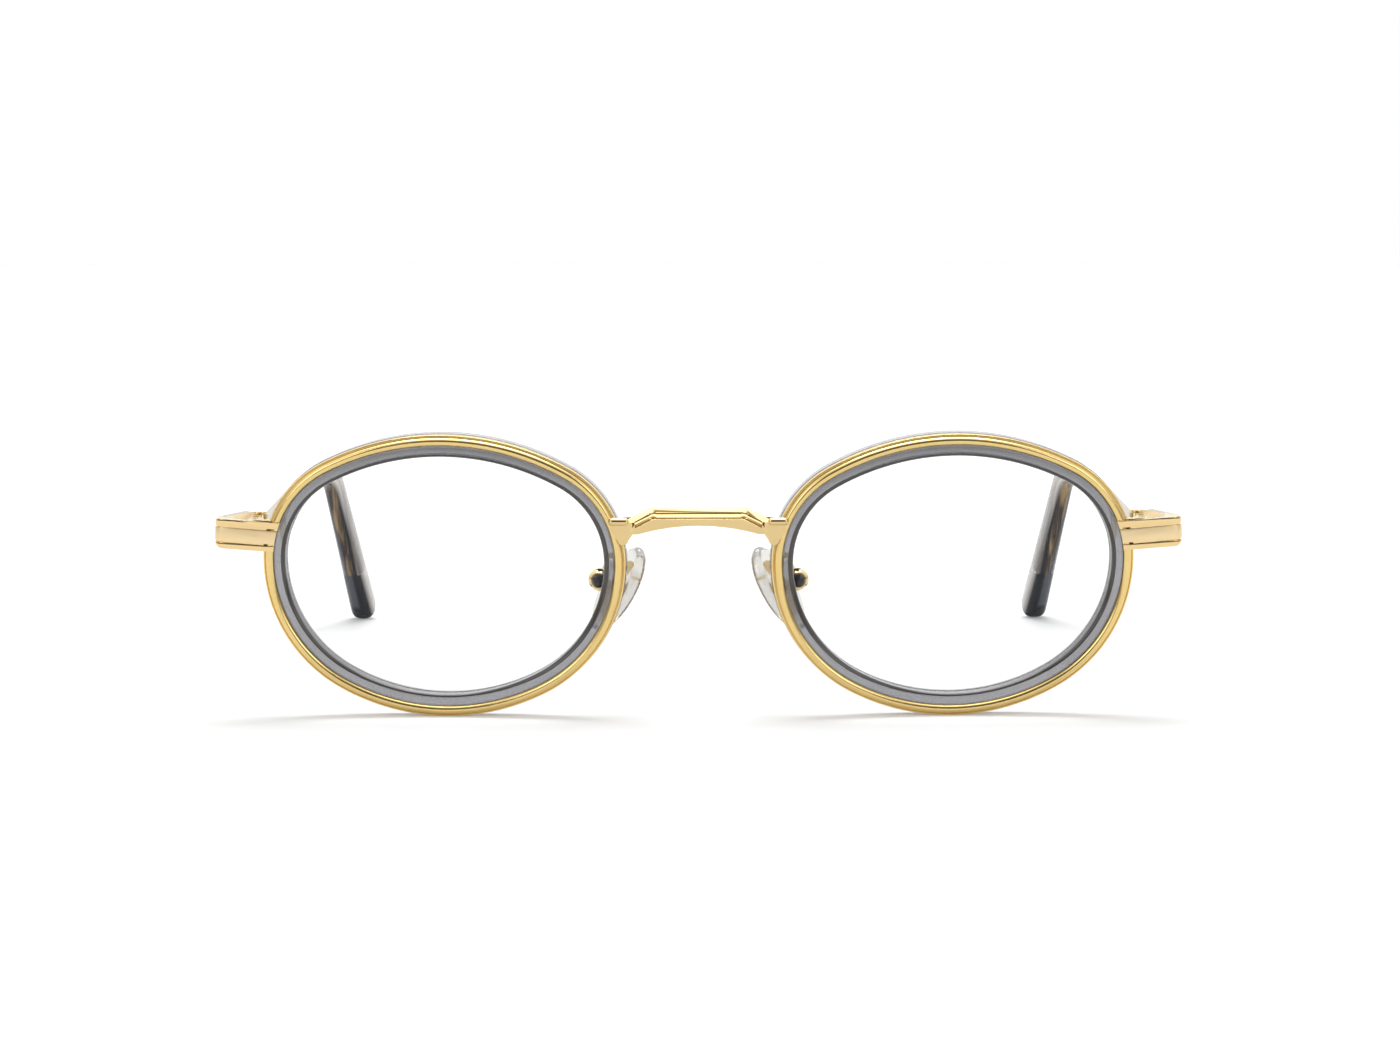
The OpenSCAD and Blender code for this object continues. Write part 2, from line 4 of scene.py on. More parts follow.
import bpy
from mathutils import Matrix, Vector


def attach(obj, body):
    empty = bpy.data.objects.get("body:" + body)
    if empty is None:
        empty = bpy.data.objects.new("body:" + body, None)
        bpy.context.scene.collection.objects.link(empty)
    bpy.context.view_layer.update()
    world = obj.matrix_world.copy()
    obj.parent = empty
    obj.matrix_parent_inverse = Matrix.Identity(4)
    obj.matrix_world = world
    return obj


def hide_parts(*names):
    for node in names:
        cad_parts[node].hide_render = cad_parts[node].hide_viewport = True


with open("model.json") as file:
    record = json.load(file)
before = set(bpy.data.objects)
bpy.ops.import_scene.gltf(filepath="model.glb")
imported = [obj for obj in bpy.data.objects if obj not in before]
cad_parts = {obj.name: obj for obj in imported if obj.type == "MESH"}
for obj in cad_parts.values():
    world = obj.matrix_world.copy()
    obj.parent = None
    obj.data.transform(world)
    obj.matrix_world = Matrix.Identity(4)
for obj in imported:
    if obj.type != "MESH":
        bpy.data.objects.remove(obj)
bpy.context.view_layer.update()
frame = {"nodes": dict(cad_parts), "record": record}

bpy.ops.object.select_all(action="DESELECT")

# The camera.
# It stands in front of the frame, a little above it, and looks slightly down through a long lens.
mm = 0.001
front_y = -67.99 * mm
camera_distance = 569.4 * mm
camera_height = 72.4 * mm
camera_pitch = math.radians(4.64)
camera_roll = math.radians(-0.128)
photo_px = 1400
sideways_px = 1.54
camera_data = bpy.data.cameras.new("camera")
camera_data.sensor_width = 36
camera_data.lens = 105.28
camera_data.shift_x = sideways_px / photo_px
camera_data.clip_start = 0.01
camera = bpy.data.objects.new("camera", camera_data)
camera.matrix_world = (
    Matrix.Translation((0, front_y - camera_distance, camera_height))
    @ Matrix.Rotation(math.radians(90) - camera_pitch, 4, "X")
    @ Matrix.Rotation(camera_roll, 4, "Z")
)
bpy.context.scene.collection.objects.link(camera)
bpy.context.scene.camera = camera


# The table and the light.
# A white sheet of paper under soft boxes: one overhead, and one at each side of the camera. The
# room is pale behind, brightest overhead, and dark behind the camera, which polished gold shows.
class Shade:
    """What one output of a shader's nodes gives. Sums on it add their own Math nodes."""

    def __init__(self, tree, output):
        self.tree = tree
        self.output = output

    def math(self, operation, first, second=0.0):
        node = add_node(self.tree, "ShaderNodeMath", {"operation": operation}, {0: first, 1: second})
        return Shade(self.tree, node.outputs[0])

    def __add__(self, other):
        return self.math("ADD", self, other)

    def __radd__(self, other):
        return self.math("ADD", other, self)

    def __sub__(self, other):
        return self.math("SUBTRACT", self, other)

    def __rsub__(self, other):
        return self.math("SUBTRACT", other, self)

    def __mul__(self, other):
        return self.math("MULTIPLY", self, other)

    def __rmul__(self, other):
        return self.math("MULTIPLY", other, self)

    def __pow__(self, other):
        return self.math("POWER", self, other)

    def __abs__(self):
        return self.math("ABSOLUTE", self)

    def over(self, least):
        return self.math("MAXIMUM", self, least)

    def clip(self):
        node = add_node(self.tree, "ShaderNodeClamp", {}, {0: self})
        return Shade(self.tree, node.outputs[0])


def add_node(tree, kind, settings, sockets):
    """Adds a node, makes its settings, and gives each named socket a value or a link."""
    node = tree.nodes.new(kind)
    for name, value in settings.items():
        setattr(node, name, value)
    for name, value in sockets.items():
        if isinstance(value, Shade):
            tree.links.new(value.output, node.inputs[name])
        else:
            node.inputs[name].default_value = value
    return node


def shade(tree, kind, settings=None, sockets=None, output=0):
    """The same, for a node whose one output is what counts."""
    node = add_node(tree, kind, settings or {}, sockets or {})
    return Shade(tree, node.outputs[output])


def where(tree):
    """The place on the piece that is being shaded."""
    return shade(tree, "ShaderNodeTexCoord", output="Object")


def axes(tree, vector):
    """The three parts of a vector."""
    split = add_node(tree, "ShaderNodeSeparateXYZ", {}, {0: vector})
    return [Shade(tree, split.outputs[axis]) for axis in "XYZ"]


def open_material(name):
    """A new material's empty node tree, and its output node."""
    material = bpy.data.materials.new(name)
    material.use_nodes = True
    tree = material.node_tree
    tree.nodes.clear()
    return material, tree, tree.nodes.new("ShaderNodeOutputMaterial")


def unlit(tree):
    """1 for rays that should see a plain white ground: the camera's, reflected and refracted ones."""
    rays = tree.nodes.new("ShaderNodeLightPath")
    seen = Shade(tree, rays.outputs["Is Camera Ray"])
    seen = seen + Shade(tree, rays.outputs["Is Glossy Ray"])
    return (seen + Shade(tree, rays.outputs["Is Transmission Ray"])).clip()


paper, tree, output = open_material("white_paper")
paper_fibre = shade(tree, "ShaderNodeTexNoise", {}, {"Scale": 900.0, "Detail": 3.0})
paper_bump = shade(tree, "ShaderNodeBump", {}, {"Strength": 0.03, "Distance": 0.0001, "Height": paper_fibre})
paper_face = shade(tree, "ShaderNodeBsdfPrincipled", {}, {
    "Base Color": (0.86, 0.86, 0.86, 1), "Roughness": 0.9, "Specular IOR Level": 0.1, "Normal": paper_bump})
glow_here = 0.18
glow_more = 0.32
glow_from = 0.12
off_centre = shade(tree, "ShaderNodeVectorMath", {"operation": "LENGTH"}, {0: where(tree)}, output="Value")
far_out = ((off_centre - glow_from) * 2.5).clip()
paper_glow = shade(tree, "ShaderNodeEmission", {}, {
    "Color": (1, 1, 1, 1), "Strength": unlit(tree) * (glow_here + far_out * glow_more)})
paper_look = shade(tree, "ShaderNodeAddShader", {}, {0: paper_face, 1: paper_glow})
tree.links.new(paper_look.output, output.inputs["Surface"])
bpy.ops.mesh.primitive_plane_add(size=8)
table = bpy.context.object
table.name = "table_top"
table.data.materials.append(paper)

room = bpy.data.worlds.new("room")
bpy.context.scene.world = room
room.use_nodes = True
tree = room.node_tree
tree.nodes.clear()
facing = shade(tree, "ShaderNodeTexCoord", output="Generated")
towards_back, towards_top = axes(tree, facing)[1:]
rays = tree.nodes.new("ShaderNodeLightPath")
plain = (Shade(tree, rays.outputs["Is Camera Ray"]) + Shade(tree, rays.outputs["Is Transmission Ray"])).clip()
reflected = Shade(tree, rays.outputs["Is Glossy Ray"])
level_beside = 0.46
back_more = 0.55
top_more = 0.95
least_level = 0.1
card_dark = 0.8
overhead_from = 0.85
overhead_bright = 17.0
dark_card = (0 - towards_back).over(0.0) * towards_top.over(0.0) * card_dark
overhead = (towards_top - overhead_from).over(0.0) * overhead_bright
even_level = level_beside + towards_back * back_more + towards_top * top_more
room_level = (even_level + (overhead - dark_card) * reflected).over(least_level)
shine = 0.5 + reflected * 0.5
room_light = add_node(tree, "ShaderNodeBackground", {}, {
    "Color": (1, 1, 1, 1), "Strength": room_level * shine * (1 - plain) + plain})
tree.links.new(room_light.outputs[0], tree.nodes.new("ShaderNodeOutputWorld").inputs["Surface"])

aim = Vector((0, 0, 0.02))
soft_boxes = [
    ("top_box", (0, 0.14, 0.5), 0.36, 0.24, 1.55),
    ("left_box", (-0.65, -0.75, 0.45), 0.45, 0.6, 1.9),
    ("right_box", (0.65, -0.75, 0.45), 0.45, 0.6, 1.9),
]
for name, place, width, height, power in soft_boxes:
    lamp = bpy.data.lights.new(name, "AREA")
    lamp.shape = "RECTANGLE"
    lamp.size = width
    lamp.size_y = height
    lamp.energy = power
    lamp_object = bpy.data.objects.new(name, lamp)
    lamp_object.location = place
    lamp_object.rotation_euler = (aim - Vector(place)).to_track_quat("-Z", "Y").to_euler()
    bpy.context.scene.collection.objects.link(lamp_object)

bpy.context.scene.view_settings.view_transform = "Standard"

# The two eyewires.
# Each is drawn from gold-coloured wire: a round bead in front and a low flange behind its outer
# edge. It is bent round the eye and closed at the temple by two soldered blocks and a screw.
eye_a = 25.4 * mm
eye_top = 17.78 * mm
eye_low = 21.98 * mm
eye_x = 35.6 * mm
eye_turn = math.radians(1.1)
eye_wrap = math.radians(3.1)
front_lean = math.radians(4.2)
bead_w = 1.16 * mm
flange_w = 0.34 * mm
gold_w = bead_w + flange_w
flange_y = 0.55 * mm
metal_d = 1.9 * mm
split_z = 4.0 * mm
split_gap = 0.24 * mm
arc_steps = 30
meeting_gap = 0.002 * mm
# an end arc and a long arc make each quarter of the eye, with centres this many units off its middle
end_off = 8
long_off = 15
centres_apart = 17
long_reach = centres_apart - end_off
arc_angle = math.atan2(long_off, end_off)
unit_top = (eye_a - eye_top) / (long_off - long_reach)
unit_low = (eye_a - eye_low) / (long_off - long_reach)
eye_y = eye_a * math.sin(eye_wrap)
eye_z = eye_low + long_off * unit_low * (1 - math.cos(eye_turn))
ring_out = 0.12 * mm
low_y = eye_y - long_off * unit_low * math.sin(eye_turn) * math.sin(eye_wrap)
# the height of the leaning front's lowest edge, taken off so that the edge stands on the table
front_low = low_y * math.sin(front_lean) + min(
    flange_y * math.sin(front_lean), metal_d * math.sin(front_lean) - ring_out * math.cos(front_lean))
front_place = Matrix.Translation((0, front_y, -front_low)) @ Matrix.Rotation(front_lean, 4, "X")
eye_place = (
    front_place
    @ Matrix.Translation((eye_x, eye_y, eye_z))
    @ Matrix.Rotation(eye_wrap, 4, "Z")
    @ Matrix.Rotation(-eye_turn, 4, "Y")
    @ Matrix.Rotation(math.radians(90), 4, "X")
)


def draw_outline(points):
    """Draws a closed outline in edit mode, point after point, in the plane across the temple side."""
    bpy.ops.mesh.primitive_plane_add(location=(points[0][0], 0, points[0][1]))
    bpy.ops.object.mode_set(mode="EDIT")
    bpy.ops.mesh.merge(type="CENTER")
    for last, point in zip(points, points[1:]):
        step = (point[0] - last[0], 0, point[1] - last[1])
        bpy.ops.mesh.extrude_vertices_move(TRANSFORM_OT_translate={"value": step})
    bpy.ops.mesh.select_all(action="SELECT")
    bpy.ops.mesh.edge_face_add()
    bpy.ops.mesh.delete(type="ONLY_FACE")
    bpy.ops.object.mode_set(mode="OBJECT")
    bpy.ops.object.transform_apply(location=True, rotation=False, scale=False)
    return bpy.context.object


def bend_round_eye(section, steps):
    """Sweeps a section once round the oval, in its six arcs, and closes it on itself."""
    bpy.ops.object.mode_set(mode="EDIT")
    bpy.ops.mesh.select_all(action="SELECT")
    long_angle = math.pi - 2 * arc_angle
    for angle, x, y in (
        (arc_angle, end_off * unit_top, 0), (long_angle, 0, -long_off * unit_top),
        (arc_angle, -end_off * unit_top, 0), (arc_angle, -end_off * unit_low, 0),
        (long_angle, 0, long_off * unit_low), (arc_angle, end_off * unit_low, 0),
    ):
        bpy.ops.mesh.spin(steps=steps, angle=angle, center=(x, y, 0), axis=(0, 0, -1))
    bpy.ops.mesh.select_all(action="SELECT")
    bpy.ops.mesh.remove_doubles(threshold=meeting_gap)
    bpy.ops.mesh.normals_make_consistent(inside=False)
    bpy.ops.object.mode_set(mode="OBJECT")


def select_only(piece):
    """Selects one piece, and makes it the one that the operators act on."""
    bpy.ops.object.select_all(action="DESELECT")
    piece.select_set(True)
    bpy.context.view_layer.objects.active = piece


def put(piece, place):
    """Moves a piece, and keeps the place in its mesh."""
    select_only(piece)
    piece.matrix_world = place @ piece.matrix_world
    bpy.ops.object.transform_apply(location=True, rotation=True, scale=True)


def finish(piece, name, material, node):
    """Names a piece, gives it its finish, and lets it stand for its node and move with it."""
    piece.name = name
    piece.data.name = name
    piece.data.materials.clear()
    piece.data.materials.append(material)
    bodies = frame["record"]["behaviour"]["bodies"]
    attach(piece, next(body for body, members in bodies.items() if node in members))
    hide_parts(node)
    piece.select_set(False)


def finish_pair(piece, name, material, part):
    """Finishes a left piece, and a mirrored copy of it on the right."""
    twin = bpy.data.objects.new(name, piece.data.copy())
    bpy.context.scene.collection.objects.link(twin)
    put(twin, Matrix.Diagonal((-1, 1, 1, 1)))
    bpy.ops.object.mode_set(mode="EDIT")
    bpy.ops.mesh.select_all(action="SELECT")
    bpy.ops.mesh.normals_make_consistent(inside=False)
    bpy.ops.object.mode_set(mode="OBJECT")
    finish(piece, "left_" + name, material, "left_" + part)
    finish(twin, "right_" + name, material, "right_" + part)


def apply_modifier(piece, kind, **settings):
    """Adds a modifier with these settings, and keeps what it does in the mesh."""
    select_only(piece)
    modifier = piece.modifiers.new(kind.lower(), kind)
    for name, value in settings.items():
        setattr(modifier, name, value)
    bpy.ops.object.modifier_apply(modifier=modifier.name)


def surface(tree, output, sockets):
    """A Principled surface on the material's output."""
    principled = shade(tree, "ShaderNodeBsdfPrincipled", {}, sockets)
    tree.links.new(principled.output, output.inputs["Surface"])


def blend_colours(tree, factor, first, second):
    """The first colour where the factor is 0, and the second where it is 1."""
    return shade(tree, "ShaderNodeMix", {"data_type": "RGBA"}, {0: factor, 6: first, 7: second}, output=2)


def speckle(tree, scale, detail=3.0):
    """A fine cloud over the surface, from 0 to 1."""
    return shade(tree, "ShaderNodeTexNoise", {}, {"Vector": where(tree), "Scale": scale, "Detail": detail})


def gold_plate(name, light, dark, roughness):
    """Plated gold: its colour and its polish vary a little, from wiping and handling."""
    material, tree, output = open_material(name)
    cloud = speckle(tree, 220.0)
    grain = shade(tree, "ShaderNodeBump", {}, {
        "Strength": 0.05, "Distance": 0.00005, "Height": speckle(tree, 5200.0, 2.0)})
    surface(tree, output, {
        "Base Color": blend_colours(tree, cloud, dark, light),
        "Metallic": 1.0,
        "Roughness": roughness + cloud * (0.6 * roughness),
        "Normal": grain,
    })
    return material


wire_gold = gold_plate("wire_gold", (0.81, 0.61, 0.26, 1), (0.73, 0.535, 0.21, 1), 0.16)
polished_gold = gold_plate("polished_gold", (0.72, 0.545, 0.27, 1), (0.65, 0.485, 0.23, 1), 0.07)


def bead_point(turn):
    """A point of the bead's round, from its inner side (180 degrees) over its front (90)."""
    angle = math.radians(turn)
    return (-flange_w - bead_w / 2 * (1 - math.cos(angle)), bead_w / 2 * (math.sin(angle) - 1))


groove_d = 0.16 * mm
groove_w = 0.1 * mm
edge = 0.07 * mm
# the bead, the fine groove beside it, and the flange
rim_outline = [bead_point(turn) for turn in range(180, -21, -10)] + [
    (-flange_w + 0.1 * groove_w, -flange_y - groove_d), (-flange_w + 0.8 * groove_w, -flange_y - groove_d),
    (-flange_w + groove_w, -flange_y - edge), (-flange_w + groove_w + edge, -flange_y),
    (-edge, -flange_y), (-edge / 3, -flange_y - edge / 3), (0, -flange_y - edge),
    (0, -metal_d + edge), (-edge, -metal_d), (-gold_w + edge, -metal_d), (-gold_w, -metal_d + edge),
]
rim = draw_outline([(eye_a + u, z) for u, z in rim_outline])
bend_round_eye(rim, arc_steps)
put(rim, eye_place)
# one saw cut splits the eyewire
saw_x = eye_a - 1.2 * mm
saw_w = 4 * mm
saw_d = 20 * mm
bpy.ops.mesh.primitive_cube_add(size=1, location=(saw_x, 0, 0))
saw = bpy.context.object
saw.scale = (saw_w, split_gap, saw_d)
put(saw, eye_place @ Matrix.Translation((0, split_z, 0)))
apply_modifier(rim, "BOOLEAN", operation="DIFFERENCE", solver="EXACT", object=saw)
bpy.data.objects.remove(saw)
bpy.ops.object.shade_smooth_by_angle(angle=math.radians(28))
finish_pair(rim, "eyewire", wire_gold, "rim")

# The two acetate rings.
# Each is turned from one ring of translucent grey acetate. Its slanted inner edge, its inner wall at
# the temple and the front's outer edge on top are painted dark: painted shade. It is pressed into the eyewire
# from behind, and holds the lens in a groove.
ring_w = 1.54 * mm
ring_y = 0.35 * mm
ring_back = 4.3 * mm
ring_in = -gold_w - ring_w
ring_edge = ring_out - 0.02 * mm
lens_groove_y = 2.5 * mm
lens_groove_w = 0.84 * mm
lens_groove_foot = 0.36 * mm
lens_groove_d = 0.52 * mm
acetate_ior = 1.49


def arc_outside(x, y):
    """The centre and the radius of the arc of the oval that a point of its plane lies in."""
    unit, half = (unit_top, 1) if y > 0 else (unit_low, -1)
    if math.atan2(abs(y), abs(x) - end_off * unit) < arc_angle:
        return Vector((math.copysign(end_off * unit, x), 0)), eye_a - end_off * unit
    return Vector((0, -long_off * unit * half)), eye_a + long_reach * unit


def acetate(tree, light, dark, through):
    """Polished acetate: light comes through it, a little cloudier in some places than in others."""
    cloud = speckle(tree, 60.0, 2.0)
    return shade(tree, "ShaderNodeBsdfPrincipled", {}, {
        "Base Color": blend_colours(tree, cloud, dark, light),
        "Roughness": 0.04 + cloud * 0.06,
        "Transmission Weight": through,
        "IOR": acetate_ior,
    })


grey_acetate, tree, output = open_material("grey_acetate")
painted_shade_share = shade(tree, "ShaderNodeAttribute", {"attribute_name": "smoke_and_painted_light"}, output="Fac")
ring_grey = acetate(tree, (0.43, 0.43, 0.455, 1), (0.34, 0.34, 0.36, 1), 0.75)
# painted shade: a dark smoky colour, laid where the layer says the ring should look shaded
ring_painted_shade = acetate(tree, (0.075, 0.066, 0.06, 1), (0.045, 0.04, 0.037, 1), 0.1)
ring_shades = shade(tree, "ShaderNodeMixShader", {}, {0: painted_shade_share, 1: ring_grey, 2: ring_painted_shade})
tree.links.new(ring_shades.output, output.inputs["Surface"])
chamfer_w = 0.32 * mm
chamfer_d = 0.34 * mm
ring_outline = [
    (-gold_w - 0.01 * mm, -ring_y - 0.2 * mm), (-gold_w - 0.18 * mm, -ring_y),
    (ring_in + chamfer_w, -ring_y), (ring_in + 0.44 * chamfer_w, -ring_y - 0.18 * chamfer_d),
    (ring_in + 0.13 * chamfer_w, -ring_y - 0.53 * chamfer_d), (ring_in, -ring_y - chamfer_d),
    (ring_in, -lens_groove_y + lens_groove_w / 2),
    (ring_in + lens_groove_d, -lens_groove_y + lens_groove_foot / 2),
    (ring_in + lens_groove_d, -lens_groove_y - lens_groove_foot / 2),
    (ring_in, -lens_groove_y - lens_groove_w / 2),
    (ring_in, -ring_back + 0.6 * mm), (ring_in + 0.1 * mm, -ring_back + 0.38 * mm),
    (ring_in + 0.4 * mm, -ring_back + 0.1 * mm), (ring_in + 0.6 * mm, -ring_back),
    (ring_edge - 0.45 * mm, -ring_back), (ring_edge - 0.22 * mm, -ring_back + 0.06 * mm),
    (ring_edge - 0.06 * mm, -ring_back + 0.22 * mm), (ring_edge, -ring_back + 0.45 * mm),
    (ring_edge, -metal_d - 0.1 * mm), (ring_edge - 0.07 * mm, -metal_d - 0.02 * mm),
    (-gold_w - 0.01 * mm, -metal_d - 0.02 * mm),
]
ring = draw_outline([(eye_a + u, z) for u, z in ring_outline])
bend_round_eye(ring, arc_steps)
# the slanted edge is cut wider towards the nose, and a little wider at the temple and on top
near = 0.01 * mm
nasal_more = 1.9
temporal_more = 0.9
upper_more = 0.3
inwards = []
depths = []
for corner in ring.data.vertices:
    centre, radius = arc_outside(corner.co.x, corner.co.y)
    reach = corner.co.xy - centre
    inwards.append(reach.length - radius - ring_in)
    depths.append(-ring_y - corner.co.z)
    if depths[-1] < chamfer_d + near and inwards[-1] < chamfer_w + near:
        nasal, temporal, upper = (max(part, 0) ** 2 for part in (
            -corner.co.x / eye_a, corner.co.x / eye_a, corner.co.y / eye_top))
        wider = 1 + nasal_more * nasal + temporal_more * temporal + upper_more * upper
        corner.co.xy = centre + reach.normalized() * (radius + ring_in + inwards[-1] * wider)
        corner.co.z = -ring_y - depths[-1] * wider
# painted shade: the slanted edge is painted dark all round, the inner wall at the temple, and the front's
# outer edge on top
wall_painted_shade = 0.9
top_painted_shade = 0.8
smoke_and_painted_light = ring.data.attributes.new("smoke_and_painted_light", "FLOAT", "CORNER")
for face in ring.data.polygons:
    in_chamfer = all(depths[c] < chamfer_d + near and inwards[c] < chamfer_w + near for c in face.vertices)
    in_front = all(depths[c] < near for c in face.vertices)
    on_wall = all(abs(inwards[c]) < near for c in face.vertices)
    for loop in face.loop_indices:
        corner = ring.data.loops[loop].vertex_index
        place = ring.data.vertices[corner].co
        if in_chamfer:
            smoke_and_painted_light.data[loop].value = 1.0
        elif on_wall:
            smoke_and_painted_light.data[loop].value = wall_painted_shade * min(max(2 * place.x / eye_a - 0.2, 0), 1)
        elif in_front and inwards[corner] > chamfer_w + near:
            smoke_and_painted_light.data[loop].value = top_painted_shade * max(place.y / eye_top, 0) ** 2
put(ring, eye_place)
bpy.ops.object.shade_smooth_by_angle(angle=math.radians(40))
finish_pair(ring, "acetate_ring", grey_acetate, "inner_ring")

# The two lenses.
# Each is a clear plastic lens, a shallow shell, ground to the eye shape with a bevel round its edge
# that clicks into the ring's groove.
clear_lens, tree, output = open_material("clear_lens")
through = shade(tree, "ShaderNodeBsdfTransparent", {}, {"Color": (0.985, 0.99, 0.99, 1)})
coating = shade(tree, "ShaderNodeBsdfGlossy", {}, {"Color": (1, 1, 1, 1), "Roughness": 0.02})
grazing = shade(tree, "ShaderNodeLayerWeight", {}, {"Blend": 0.5}, output="Facing") ** 5.0
smudge = speckle(tree, 40.0, 4.0)
lens_face = shade(tree, "ShaderNodeMixShader", {}, {
    0: (0.012 + grazing * 0.5) * (0.8 + smudge * 0.4), 1: through, 2: coating})
tree.links.new(lens_face.output, output.inputs["Surface"])

lens_r = 200 * mm
lens_t = 1.5 * mm
lens_front = 0.8 * mm
lens_edge = ring_in - 0.08 * mm
bevel_tip = ring_in + 0.5 * mm
edge_front = -2.0 * mm
edge_back = -3.0 * mm
lens_outline = [
    (lens_edge, edge_front), (lens_edge, -2.12 * mm), (bevel_tip, -2.36 * mm), (bevel_tip, -2.64 * mm),
    (lens_edge, -2.9 * mm), (lens_edge, edge_back),
]
lens_arc_steps = 24
shell_shares = (0.85, 0.68, 0.5, 0.33, 0.17)
lens = draw_outline([(eye_a + u, z) for u, z in lens_outline])
bend_round_eye(lens, lens_arc_steps)
# the sweep's inner wall is taken out, and both open edges are drawn in, step by step, and closed
bpy.ops.object.mode_set(mode="EDIT")
bpy.ops.mesh.select_all(action="DESELECT")
bpy.ops.object.mode_set(mode="OBJECT")
for face in lens.data.polygons:
    levels = [lens.data.vertices[corner].co.z for corner in face.vertices]
    face.select = all(min(abs(level - edge_front), abs(level - edge_back)) < near for level in levels)
bpy.ops.object.mode_set(mode="EDIT")
bpy.ops.mesh.delete(type="FACE")
for level in (edge_front, edge_back):
    bpy.ops.mesh.select_all(action="DESELECT")
    bpy.ops.object.mode_set(mode="OBJECT")
    for corner in lens.data.vertices:
        corner.select = abs(corner.co.z - level) < near
    bpy.ops.object.mode_set(mode="EDIT")
    last = 1
    for share in shell_shares:
        bpy.ops.mesh.extrude_edges_move()
        bpy.ops.transform.resize(value=(share / last, share / last, 1), center_override=(0, 0, level))
        last = share
    bpy.ops.mesh.edge_face_add()
bpy.ops.mesh.select_all(action="SELECT")
bpy.ops.mesh.normals_make_consistent(inside=False)
bpy.ops.object.mode_set(mode="OBJECT")
for corner in lens.data.vertices:
    spread = corner.co.x ** 2 + corner.co.y ** 2
    if abs(corner.co.z - edge_front) < near:
        corner.co.z = math.sqrt(lens_r ** 2 - spread) - lens_r - lens_front
    elif abs(corner.co.z - edge_back) < near:
        corner.co.z = math.sqrt((lens_r - lens_t) ** 2 - spread) - lens_r - lens_front
bpy.ops.object.shade_smooth_by_angle(angle=math.radians(20))
put(lens, eye_place)
finish_pair(lens, "clear_lens", clear_lens, "lens")


# The bridge.
# One machined bar of polished gold, soldered to both eyewires by a lug at each end. Two facets are
# cut along its top front edge and down both shoulders, and a shallow arch is cut under it.
def from_solid(node):
    """A new piece with the faces of a node's solid, merged, and free of their triangles."""
    piece = bpy.data.objects.new("piece", frame["nodes"][node].data.copy())
    bpy.context.scene.collection.objects.link(piece)
    select_only(piece)
    bpy.ops.object.mode_set(mode="EDIT")
    bpy.ops.mesh.select_all(action="SELECT")
    bpy.ops.mesh.remove_doubles(threshold=solid_gap)
    bpy.ops.mesh.dissolve_limited(angle_limit=flat_angle)
    bpy.ops.object.mode_set(mode="OBJECT")
    return piece


def soften(piece, width, segments=2):
    """Rounds the sharp edges, and shades the faces smooth between what edges are left."""
    apply_modifier(
        piece, "BEVEL", width=width, segments=segments, limit_method="ANGLE",
        angle_limit=sharp_angle, use_clamp_overlap=True)
    bpy.ops.object.shade_smooth_by_angle(angle=sharp_angle)


solid_gap = 0.001 * mm
flat_angle = math.radians(0.3)
sharp_angle = math.radians(30)
bridge = from_solid("bridge")
soften(bridge, 0.03 * mm)
finish(bridge, "faceted_bridge", polished_gold, "bridge")

# The end pieces.
# Each is a strip of gold-plated metal bent round the corner of the front, with two engraved lines
# along it. Between the lines it is brushed satin, above and below them it is polished.
end_x = 67.8 * mm
end_h = 4.15 * mm
end_z = 25.9 * mm
end_t = 1.35 * mm
corner_back = 2.2 * mm
line_w = 0.26 * mm
upper_line = 0.242 * end_h
lower_line = 0.274 * end_h
corner_x = end_x - end_t
corner_y = eye_y + eye_a * math.tan(eye_wrap) + corner_back
end_rise = math.radians(3)
end_zl = (end_z + front_low - corner_y * math.sin(front_lean)) / math.cos(front_lean)
end_up = Matrix.Rotation(front_lean, 3, "X") @ Matrix.Rotation(-end_rise, 3, "Y") @ Vector((0, 0, 1))
end_level = (front_place @ Vector((corner_x, corner_y, end_zl))).dot(end_up)

satin_gold, tree, output = open_material("satin_gold")
spot_x, spot_y, spot_z = axes(tree, where(tree))
height = abs(spot_x) * end_up.x + spot_y * end_up.y + spot_z * end_up.z
from_top = (upper_line + end_level - height) * (1 / line_w)
from_foot = (height - end_level + lower_line) * (1 / line_w)
satin = from_top.clip() * from_foot.clip()
brushed = shade(tree, "ShaderNodeMapping", {}, {"Vector": where(tree), "Scale": (300.0, 300.0, 9000.0)})
scratches = shade(tree, "ShaderNodeTexNoise", {}, {"Vector": brushed, "Scale": 1.0, "Detail": 3.0})
satin_bump = shade(tree, "ShaderNodeBump", {}, {
    "Strength": satin * 0.25, "Distance": 0.00004, "Height": scratches})
surface(tree, output, {
    "Base Color": blend_colours(tree, satin, (0.78, 0.58, 0.29, 1), (0.86, 0.67, 0.39, 1)),
    "Metallic": 1.0,
    "Roughness": 0.12 + satin * (0.26 + scratches * 0.12),
    "Normal": satin_bump,
})
end_piece = from_solid("left_end_piece")
soften(end_piece, 0.07 * mm)
finish_pair(end_piece, "engraved_end_piece", satin_gold, "end_piece")


# The closing blocks.
# Behind each end piece two small blocks, soldered to the ends of the eyewire above and below its
# split, are drawn together by a screw, which closes the eyewire round the ring.
def soften_pair(part, name, width, material=polished_gold):
    """Softens the edges of a left part's solid, and finishes it and its twin on the right."""
    piece = from_solid("left_" + part)
    soften(piece, width)
    finish_pair(piece, name, material, part)


soften_pair("closing_block_upper", "soldered_block_upper", 0.08 * mm)
soften_pair("closing_block_lower", "soldered_block_lower", 0.08 * mm)
screw_gold = gold_plate("screw_gold", (0.78, 0.57, 0.28, 1), (0.68, 0.48, 0.22, 1), 0.2)
soften_pair("closing_screw", "slotted_closing_screw", 0.05 * mm, screw_gold)

# The hinges.
# Two ears on the front and one on the temple, each soldered on by its leaf, turn about a slotted
# screw that goes in from above.
soften_pair("front_hinge", "hinge_ears", 0.06 * mm)
soften_pair("temple_hinge", "hinge_knuckle", 0.06 * mm)
soften_pair("hinge_screw", "slotted_hinge_screw", 0.06 * mm, screw_gold)

